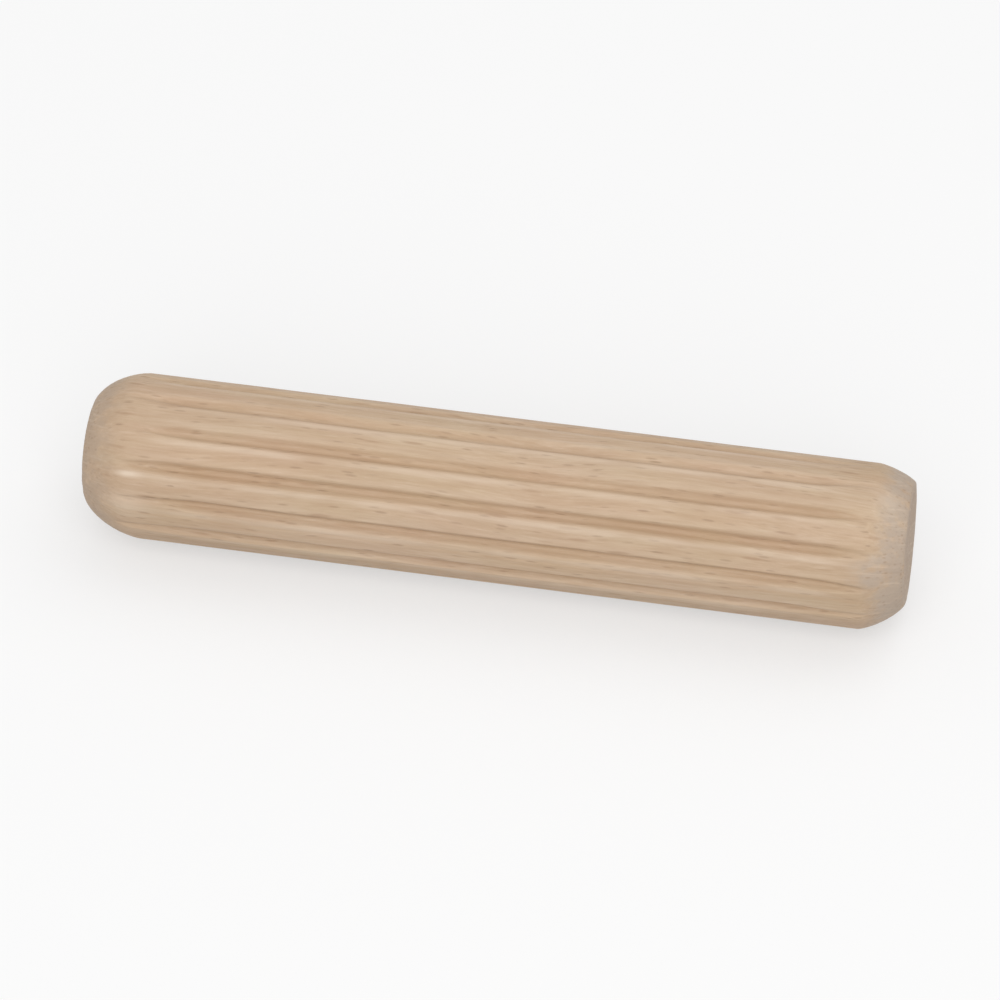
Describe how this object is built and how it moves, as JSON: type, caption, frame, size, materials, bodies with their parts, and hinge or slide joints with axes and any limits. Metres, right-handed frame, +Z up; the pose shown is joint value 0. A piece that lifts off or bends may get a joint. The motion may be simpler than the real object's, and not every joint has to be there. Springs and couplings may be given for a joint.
{
  "type": "dowel pin",
  "caption": "Fluted wooden dowel pin with chamfered ends, glued into matching holes to align and join two boards.",
  "frame": {"origin": "on the pin's axis at mid-length", "axes": "+X along the pin, +Z up out of the bench that it lies on, with a flute at the very bottom"},
  "size_m": [0.04, 0.008, 0.008],
  "materials": {
    "beech": "bare, planed and fluted, unsanded"
  },
  "bodies": {
    "root": {"dowel_pin": "beech"}
  },
  "joints": []
}
